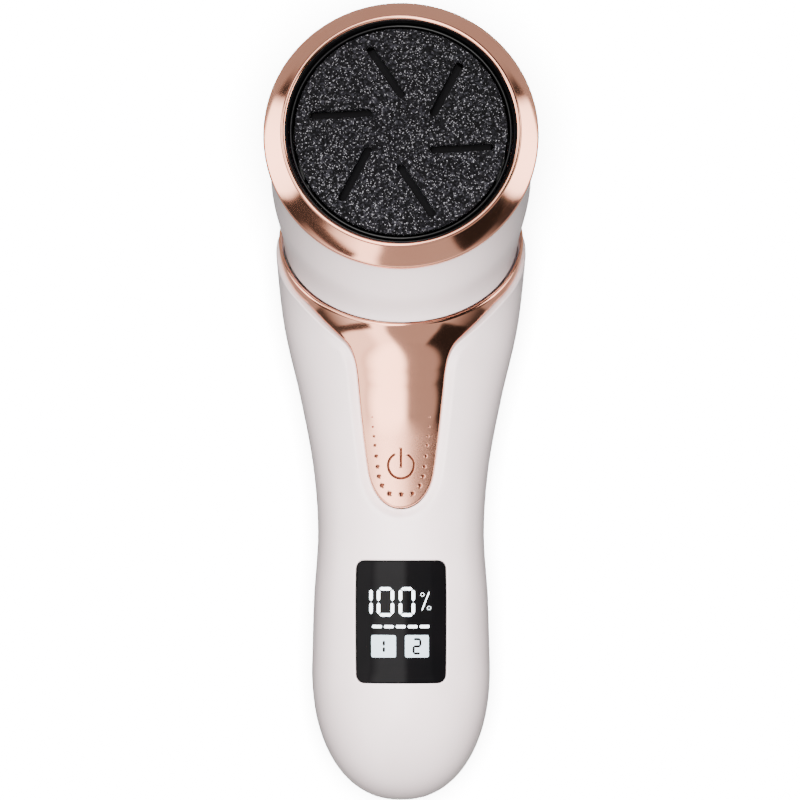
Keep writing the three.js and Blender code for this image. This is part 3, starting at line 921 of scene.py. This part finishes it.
def head_shell(segments=240):
    """Barrel between the collar and the guard ring, with the flange that the ring sits on."""
    phi = np.linspace(0, 2 * PI, segments, endpoint=False)
    start = on_collar_plane(0.12, phi)[:, 0]
    first = np.array([0, 0.1, 0.2, 0.32, 0.5, 0.8]) / 40
    shares = np.concatenate([first, np.linspace(0.05, 0.97, 34), [0.985, 0.993, 1]])
    rows = []
    lip = edge_round(0.4)
    base = [body(start + (HEAD_AT - start) * s, phi) for s in shares]
    steps = [np.linalg.norm(b - a, axis=1) for a, b in zip(base, base[1:])]
    run = np.cumsum([np.zeros(segments)] + steps, axis=0)
    for s, points, low, high in zip(shares, base, run, run[-1] - run):
        normal = body_normal(start + (HEAD_AT - start) * s, phi)
        rise = lip(np.minimum(low, high))[0] - barrel_sink(s, phi)
        rows.append(points + normal * rise[:, None])
    outward = unit(base[-1] - SEAT)
    up = np.array([0, math.sin(HEAD_TILT), math.cos(HEAD_TILT)])
    for r, h in [(24.9, -0.4), (24.65, -0.5), (24.65, -2), (26.4, -2)]:
        rows.append(SEAT + outward * r + up * h)
    for s in np.linspace(0.86, 0, 20):
        at = start + (HEAD_AT - start) * s
        rows.append(body(at, phi) - body_normal(at, phi) * (BARREL_WALL + 0.7 * barrel_sink(s, phi))[:, None])
    verts = np.vstack(rows)
    faces = []
    for k in range(len(rows)):
        low, high = k * segments, ((k + 1) % len(rows)) * segments
        for j in range(segments):
            n = (j + 1) % segments
            faces.append((low + j, low + n, high + n, high + j))
    shell = new_object("head_casing_shell", verts, faces, materials=[HEAD_WHITE_PAINTED_SHADE])
    shell.data.set_sharp_from_angle(angle=math.radians(40))
    place(shell, "casing", "shell", "head_casing")


def collar_band():
    """Rear half of the plated trim between the handle and the head."""
    level = PARTING_Z - SEAM
    low, high = -BAND_WIDTH, BAND_TOP
    side = spaced(on_level(level, np.linspace(level_end(level, low), level_end(level, high), 60)), 0.5)
    top = spaced(on_collar_plane(high, np.linspace(side[-1, 1], -side[-1, 1], 400)), 0.6)
    bottom = spaced(on_collar_plane(low, np.linspace(-side[0, 1], side[0, 1], 400)), 0.6)
    loop = np.vstack([side, top[1:-1], mirrored(side, 0), bottom[1:-1]])
    band = panel("collar_band_rear", [loop], [ROSE], spacing=0.6, offset=-BAND_SINK, edge=0.4)
    place(band, "casing", "rose_gold", "collar_band")


# Power mark: ring with a bar, and a frame of dots that grow towards the end of the tongue.
MARK_Y = 76.2
MARK_R = 2.86
MARK_WIDTH = 0.32
MARK_DEPTH = 0.24


def dots():
    """Centres [x, y] and radii of the dimples round the power mark."""
    column = [(6.4, 86.97), (6.25, 84.8), (6.0, 82.7), (5.8, 80.7), (5.5, 78.3)]
    column += [(5.2, 75.96), (4.9, 73.8), (4.2, 71.76), (2.55, 69.96)]
    points = [(side * x, y) for side in (1, -1) for x, y in column]
    points.append((0.1, 69.8))
    radii = [float(np.interp(y, [69.8, 78.3, 86.97], [0.66, 0.5, 0.2])) for _, y in points]
    return points, radii


def power_key():
    level = PARTING_Z + SEAM
    edge_line = spaced(key_edge(0), 0.4)
    side = spaced(on_level(level, np.linspace(edge_line[0, 0], level_end(level, BAND_TOP), 60)), 0.5)
    top = spaced(on_collar_plane(BAND_TOP, np.linspace(side[-1, 1], 2 * PI - side[-1, 1], 500)), 0.5)
    loop = np.vstack([side[1:], top[1:-1], mirrored(side, PI)[:-1], edge_line[::-1]])

    centres, radii = dots()
    seats = on_body(on_plan(centres))
    extra = [np.array(centres)]
    for (x, y), r in zip(centres, radii):
        for share, count in ((0.35, 6), (0.65, 10), (0.88, 14), (1.0, 16), (1.25, 16)):
            extra.append(circle(r * share, x, y, count))
    bar = np.array([[0, MARK_Y - 0.25], [0, MARK_Y + 3.65]])
    gap = math.radians(33)
    arc = [[MARK_R * math.sin(a), MARK_Y + MARK_R * math.cos(a)] for a in np.linspace(gap, 2 * PI - gap, 64)]
    arc = np.array(arc)
    segments = [resampled(bar, 0.15), resampled(arc, 0.15)]
    for line in segments:
        ahead = np.gradient(line, axis=0)
        side_step = unit(np.column_stack([-ahead[:, 1], ahead[:, 0]]))
        for share in (-1.3, -1, -0.75, -0.4, 0, 0.4, 0.75, 1, 1.3):
            extra.append(line + side_step * share * MARK_WIDTH)
    lines = [on_body(on_plan(line)) for line in segments]
    starts = np.vstack([l[:-1] for l in lines])
    ends = np.vstack([l[1:] for l in lines])
    mark = line_field(groove(MARK_WIDTH, MARK_DEPTH), starts, ends)
    fields = [dimple_field(seats, radii, 0.45), mark, sink_field]

    # Faces in the groove and the dimples take the darker plated colour, which is painted shade in the hollows.
    def in_painted_hollow_shade(points):
        sunk = nearest_on(points, starts, ends)[0] < MARK_WIDTH * 0.75
        for seat, r in zip(seats, radii):
            sunk |= np.linalg.norm(points - seat, axis=1) < r * 0.7
        return sunk

    rows = (0.07, 0.15, 0.26, 0.4, 0.6)
    key = panel("power_key_plate", [loop], [KEY_ROSE, HOLLOW_PAINTED_SHADE], spacing=0.55, thick=1.5, edge=0.5, rows=rows,
                fields=fields, extra=on_plan(np.vstack(extra)), marks_of=in_painted_hollow_shade)
    place(key, "power_key", "rose_gold", "power_key")


def bar_outline(x0, y0, x1, y1, width, tip):
    """Outline of a display segment with pointed ends."""
    a, b = np.array([x0, y0], float), np.array([x1, y1], float)
    u = unit(b - a)
    v = np.array([-u[1], u[0]]) * width / 2
    return np.array([a, a + u * tip + v, b - u * tip + v, b, b - u * tip - v, a + u * tip - v])


DIGIT_LOW = 42.55
DIGIT_HIGH = 49.12
# Bars of a seven-segment figure: column and row of one end, then of the other.
SEGMENTS = {
    "a": (0, 2, 1, 2), "b": (1, 1, 1, 2), "c": (1, 0, 1, 1),
    "d": (0, 0, 1, 0), "e": (0, 0, 0, 1), "f": (0, 1, 0, 2),
}


def digit(letters, left, right, low, high, width=0.76, clear=0.14):
    """Outlines of the lit bars of a seven-segment figure."""
    xs = (left + width / 2, right - width / 2)
    ys = (low + width / 2, (low + high) / 2, high - width / 2)
    made = []
    for letter in letters:
        c0, r0, c1, r1 = SEGMENTS[letter]
        a, b = np.array([xs[c0], ys[r0]]), np.array([xs[c1], ys[r1]])
        u = unit(b - a)
        a, b = a + u * clear, b - u * clear
        made.append(bar_outline(*a, *b, width, width / 2))
    return made


def lit_piece(name, outlines, material, lift=0.0):
    """Thin shapes laid on the screen's glass, as one piece."""
    decals = []
    for k, outline in enumerate(outlines):
        points = resampled(outline, 0.35, True)
        loops = [on_plan(points)]
        decal = panel(f"{name}_{k}", loops, [material], spacing=0.7, thick=0.03, offset=lift, edge=0, rows=())
        decals.append(decal)
    place(joined(name, decals), "casing", "display")


PERCENT_RINGS = [(4.75, 47.45), (6.25, 44.45)]
METER_Y = 40.3
KEY_ROW_Y = 35.9
LEFT_KEY_X = -3.88
RIGHT_KEY_X = 3.55


def screen():
    rows = (0.06, 0.13, 0.22)
    lens = panel("screen_lens", [window_loop(0)], [LENS], thick=1.4, offset=-0.03, edge=0.22, rows=rows)
    place(lens, "casing", "screen", "screen_window")
    bars = digit("bc", -8.4, -6.3, DIGIT_LOW, DIGIT_HIGH)
    bars += digit("abcdef", -5.38, -1.54, DIGIT_LOW, DIGIT_HIGH)
    bars += digit("abcdef", -0.51, 3.12, DIGIT_LOW, DIGIT_HIGH)
    bars.append(bar_outline(4.65, 43.9, 6.3, 48.1, 0.3, 0.15))
    for centre in PERCENT_RINGS:
        corners = circle(0.42, *centre, 8)
        bars += [bar_outline(*a, *b, 0.24, 0.04) for a, b in zip(corners, np.roll(corners, -1, axis=0))]
    lit_piece("display_figures", bars, DIGITS)
    meter = [rounded_rect(2.2, 0.7, 0.2, -5.35 + 2.65 * k, METER_Y, 4) for k in range(5)]
    lit_piece("display_meter", meter, DIGITS)
    keys = [(5.5, LEFT_KEY_X), (5.3, RIGHT_KEY_X)]
    lit_piece("display_keys", [rounded_rect(w, 5.0, 0.35, x, KEY_ROW_Y, 4) for w, x in keys], SQUARES)
    marks = digit("bc", -5.0, -3.55, 34.2, 37.6, 0.55, 0.06)
    marks += [bar_outline(*ends, 0.5, 0.22) for ends in two_outline(RIGHT_KEY_X, 34.3, 37.5)]
    lit_piece("display_marks", marks, LENS, 0.03)


def two_outline(x, low, high):
    """Bar ends of a figure 2 of square shape."""
    left, right, mid = x - 0.75, x + 0.75, (low + high) / 2
    corners = [(left, high), (right, high), (right, mid), (left, mid), (left, low), (right, low)]
    return [(*a, *b) for a, b in zip(corners, corners[1:])]


def guard_ring():
    profile = [[25.14, 0.3], [29.45, 0.3], *arc_points(29.5, 0.8, 0.5, 270, 360, 7)]
    profile += [*arc_points(29.0, 1.45, 1.0, 0, 48, 10), [28.7, 3.05]]
    profile += [[27.2, 4.18], [26.2, 4.93], *arc_points(25.68, 4.84, 0.54, 50, 170, 10)]
    place(lathe("guard_ring_trim", profile, [ROSE], 240, 24), "guard_ring", "rose_gold", "guard_ring")
    liner = [[24.5, 0.35], [25.1, 0.35], [25.1, 5.0], *arc_points(25.0, 5.0, 0.1, 10, 100, 4)]
    liner += [[24.62, 4.5], [24.5, 4.2]]
    place(lathe("guard_ring_liner", liner, [GLOSS_BLACK], 200, 30), "guard_ring", "gloss_black")


def dust_cup():
    wall = [[23.5, -8.6], [24.2, -8.9], [24.2, 3.9], *arc_points(23.9, 3.85, 0.28, 0, 180, 9), [23.6, 3.8]]
    place(lathe("dust_cup_wall", wall, [GLOSS_BLACK], 200, 35), "casing", "gloss_black", "dust_cup")
    loops = [circle(23.45, count=160), circle(5.5, count=60)]
    for k in range(6):
        a = k * PI / 3
        loops.append(circle(3.2, 15 * math.cos(a), 15 * math.sin(a), 40))
    place(plate("dust_cup_floor", loops, -7.6, -9.1, [GLOSS_BLACK], 1.6, 0.3), "casing", "gloss_black")


DISC_R = 23.05
SLOT = {"start": 6.0, "end": 19.9, "offset": 4.5, "width": 1.9, "phase": math.radians(3)}


def slot_outline(k):
    centre = (SLOT["start"] + SLOT["end"]) / 2
    length, width = SLOT["end"] - SLOT["start"], SLOT["width"]
    outline = rounded_rect(length, width, width / 2 - 0.01, centre, -SLOT["offset"], 10)
    a = SLOT["phase"] + k * PI / 3
    turn = np.array([[math.cos(a), math.sin(a)], [-math.sin(a), math.cos(a)]])
    return outline @ turn


def grain_relief(seed=7, pitch=0.62):
    """Irregular grains: each point takes the height of the dome of its nearest grain."""
    rng = np.random.default_rng(seed)
    count = int(2 * DISC_R / pitch) + 2
    jitter = rng.uniform(-0.5, 0.5, (count, count, 2))
    heights = rng.uniform(0.25, 1, (count, count))

    def relief(base, _):
        cell = np.floor((base[:, :2] + DISC_R) / pitch).astype(int)
        best = np.full(len(base), 1e9)
        rise = np.zeros(len(base))
        for dx in (-1, 0, 1):
            for dy in (-1, 0, 1):
                i = np.clip(cell + [dx, dy], 0, count - 1)
                centre = (i + 0.5 + jitter[i[:, 0], i[:, 1]]) * pitch - DISC_R
                gap = np.linalg.norm(base[:, :2] - centre, axis=1)
                closer = gap < best
                best = np.where(closer, gap, best)
                rise = np.where(closer, heights[i[:, 0], i[:, 1]], rise)
        dome = rise * (1 - np.clip(best / (pitch * 0.8), 0, 1) ** 2)
        return -0.16 * (1 - dome), np.zeros_like(base)

    return relief


def abrasive_disc():
    loops = [circle(DISC_R, count=240)] + [resampled(slot_outline(k), 0.35, True) for k in range(6)]
    disc = plate("abrasive_pad", loops, 5.0, 3.0, [GRIT], 0.3, 0.35, (0.1, 0.22, 0.35), [grain_relief()])
    disc.data.normals_split_custom_set([(0, 0, 0)] * len(disc.data.loops))
    place(disc, "spindle", "grit", "abrasive_disc")


def carrier():
    profile = [[0, 2.6], [19.7, 2.6], *arc_points(19.7, 2.3, 0.3, 90, 0, 4), [20, 0.9], [4.6, 0.6]]
    profile += [[4.6, -5.5], [2.3, -5.5], [2.3, 1.2], [0, 1.2]]
    place(lathe("disc_carrier_hub", profile, [MATT_BLACK], 120), "spindle", "matt_black", "disc_carrier")


def charge_port():
    """Oval charging socket set in the tip, with its contact tongue."""
    axis = Matrix.Translation((0, 0, TIP_Z)) @ Matrix.Rotation(PI / 2, 4, "X")
    shell = [rounded_rect(9.0, 3.2, 1.58), rounded_rect(8.4, 2.6, 1.28)]
    tube = plate("charge_socket_shell", shell, -3.1, -10.2, [STEEL], 0.6, 0.12, (0.05, 0.1), axis=axis)
    place(tube, "casing", "steel", "charge_socket")
    inner = {
        "charge_contact_tongue": (rounded_rect(6.6, 0.7, 0.2), -4.2, -10.1, 0.5),
        "charge_socket_rear": (rounded_rect(8.3, 2.5, 1.2), -9.0, -10.15, 0.8),
    }
    for name, (outline, front, back, spacing) in inner.items():
        piece = plate(name, [outline], front, back, [MATT_BLACK], spacing, 0.1, (0.05,), axis=axis)
        place(piece, "casing", "matt_black")


CARRIED_OVER = {
    "drive_shaft": STEEL,
    "shaft_bearing": STEEL,
    "dust_filter": FOAM,
    "suction_fan": MATT_BLACK,
    "motor_plate": STEEL,
    "motor": STEEL,
    "switch_body": MATT_BLACK,
    "switch_plunger": MATT_BLACK,
    "main_board": BOARD,
    "display_module": DISPLAY_GREY,
    "battery_cell": CELL,
    "battery_cradle": MATT_BLACK,
    "charge_board": BOARD,
    **{f"case_screw_{k}": STEEL for k in (1, 2, 3, 4)},
}


def finish_cad_nodes():
    for name, material in CARRIED_OVER.items():
        mesh = frame["nodes"][name].data
        mesh.materials.clear()
        mesh.materials.append(material)


# ---------------------------------------------------------------- studio
CAMERA_Y = 1.64  # millimetres in the frame
CAMERA_Z = 835.5
LENS_MM = 162


def camera():
    data = bpy.data.cameras.new("camera")
    data.lens = LENS_MM
    data.sensor_width = 36
    data.shift_x = -1 / 800
    obj = bpy.data.objects.new("camera", data)
    obj.location = (0, CAMERA_Y * MM, CAMERA_Z * MM)
    bpy.context.scene.collection.objects.link(obj)
    bpy.context.scene.camera = obj


FLOOR_GLOW = 1.0


def floor():
    bpy.ops.mesh.primitive_plane_add(size=8)
    obj = bpy.context.object
    obj.name = "studio_floor"
    glow = {"Emission_Color": (1, 1, 1, 1), "Emission_Strength": FLOOR_GLOW}
    material, tree, shader, place_of = new_material("studio_paper", Roughness=0.9, Specular_IOR_Level=0, **glow)
    paper = noise(tree, place_of, 400, 3)
    feed(tree, shader, Base_Color=ramp(tree, paper, (0.3, (0.93, 0.93, 0.93, 1)), (0.7, (0.95, 0.95, 0.95, 1))))
    obj.data.materials.append(material)
    obj.location.z = -0.00002
    obj.visible_diffuse = False
    obj.visible_glossy = False
    return obj


def floor_only(light, paper):
    """Keeps a light on the floor; the object still throws its shadow there."""
    group = bpy.data.collections.new("floor_receivers")
    group.objects.link(paper)
    light.light_linking.receiver_collection = group


def area_light(name, at, target, size, power, size_y=None, colour=(1, 1, 1)):
    """A soft panel that the shiny pieces don't see, because the dome is what they mirror."""
    data = bpy.data.lights.new(name, "AREA")
    data.shape = "RECTANGLE"
    data.size = size
    data.size_y = size_y or size
    data.energy = power
    data.color = colour
    obj = bpy.data.objects.new(name, data)
    obj.location = at
    obj.rotation_euler = (Vector(target) - Vector(at)).to_track_quat("-Z", "Y").to_euler()
    obj.visible_glossy = False
    bpy.context.scene.collection.objects.link(obj)
    return obj


DOME_FULL = 7.0  # brightest panel of the dome


def dome():
    """The studio as the shiny pieces see it: panels overhead, soft boxes low at the sides, dark between."""
    bpy.ops.mesh.primitive_uv_sphere_add(segments=64, ring_count=32, radius=3)
    obj = bpy.context.object
    obj.name = "studio_dome"
    material = bpy.data.materials.new("studio_dome")
    material.use_nodes = True
    tree = material.node_tree
    tree.nodes.clear()
    spot = node(tree, "TexCoord").outputs["Object"]
    unit = node(tree, "VectorMath", {0: spot}, operation="NORMALIZE").outputs[0]
    axes = node(tree, "SeparateXYZ", {0: unit}).outputs
    x, y, z = axes["X"], axes["Y"], axes["Z"]

    def calc(kind, a, b=0.0):
        return node(tree, "Math", {0: a, 1: b}, operation=kind).outputs[0]

    def mixed(share, low, high):
        return spread(tree, share, low, high)

    def above(value, start, end):
        return spread(tree, value, 0.0, 1.0, start, end)

    def below(value, start, end):
        return spread(tree, value, 1.0, 0.0, start, end)

    def by_direction(*stops):
        tones = [(at, [tone / DOME_FULL] * 3 + [1]) for at, tone in stops]
        return calc("MULTIPLY", ramp(tree, sideways, *tones), DOME_FULL)

    # How far a direction points to the sides, turned a little towards the head, from 0 to 1.
    flat_length = calc("SQRT", calc("SUBTRACT", 1.0, calc("MULTIPLY", z, z)))
    turned = calc("ADD", calc("MULTIPLY", calc("ABSOLUTE", x), 0.98), calc("MULTIPLY", y, 0.19))
    sideways = calc("MAXIMUM", calc("DIVIDE", turned, flat_length), 0.0)
    # The right half is dimmer; the line between the halves swings left towards the handle.
    middle_line = spread(tree, y, -0.22, 0.05, -0.75, -0.25)
    right = above(calc("SUBTRACT", x, middle_line), -0.035, 0.035)
    cap_side = by_direction((0, 6), (0.3, 5.5), (0.6, 1.8), (1, 1.8))
    cap = mixed(right, mixed(above(z, 0.87, 0.93), cap_side, DOME_FULL), 0.66)
    streak = calc("MULTIPLY", above(sideways, 0.28, 0.33), below(sideways, 0.95, 0.98))
    streak = calc("MULTIPLY", streak, below(z, 0.58, 0.62))
    middle_left = mixed(streak, by_direction((0, 5), (0.3, 5), (0.5, 3), (1, 3)), 0.08)
    middle_right = by_direction((0, 0.7), (0.43, 0.7), (0.47, 0.03), (1, 0.03))
    middle = mixed(right, middle_left, middle_right)
    low_left = by_direction((0, 4), (0.45, 2.4), (0.80, 0.1), (0.915, 0.06), (0.945, 6.0), (1, DOME_FULL))
    low_right = by_direction((0, 1.7), (0.45, 0.9), (0.80, 0.08), (0.915, 0.05), (0.945, 6.0), (1, DOME_FULL))
    far_side = spread(tree, y, 1.0, 0.22, -0.1, 0.3)
    low = calc("MULTIPLY", mixed(right, low_left, low_right), mixed(above(sideways, 0.85, 0.93), far_side, 1.0))
    total = mixed(above(z, 0.43, 0.47), low, middle)
    total = mixed(above(z, 0.85, 0.88), total, cap)
    total = mixed(above(z, -0.03, 0.02), 0.6, total)
    glow = node(tree, "Emission", {"Color": (1, 0.985, 0.97, 1), "Strength": total})
    out = node(tree, "OutputMaterial")
    tree.links.new(glow.outputs[0], out.inputs[0])
    obj.data.materials.append(material)
    for sight in ("camera", "diffuse", "shadow", "transmission"):
        setattr(obj, f"visible_{sight}", False)


def world():
    made = bpy.data.worlds.new("studio_air")
    bpy.context.scene.world = made
    made.use_nodes = True
    back = made.node_tree.nodes["Background"]
    back.inputs["Color"].default_value = (1, 1, 1, 1)
    back.inputs["Strength"].default_value = 0.25


camera()
world()
paper = floor()
dome()
WARM = (1, 0.965, 0.96)
area_light("top_soft", (-0.05, 0.28, 0.86), (0, 0, 0.03), 0.55, 16.0, colour=WARM)
area_light("key_soft", (0.1, -0.45, 0.8), (0, 0, 0.03), 0.5, 1.2, colour=WARM)
area_light("handle_strip", (0, -0.04, 0.115), (0, -0.04, 0), 0.03, 0.27, 0.11, colour=WARM)
floor_only(area_light("floor_soft", (0, 0, 0.9), (0, 0, 0), 0.4, 130.0), paper)
front_casing()
back_casing()
screw_wells()
back_pad()
head_shell()
collar_band()
power_key()
screen()
guard_ring()
dust_cup()
abrasive_disc()
carrier()
charge_port()
finish_cad_nodes()
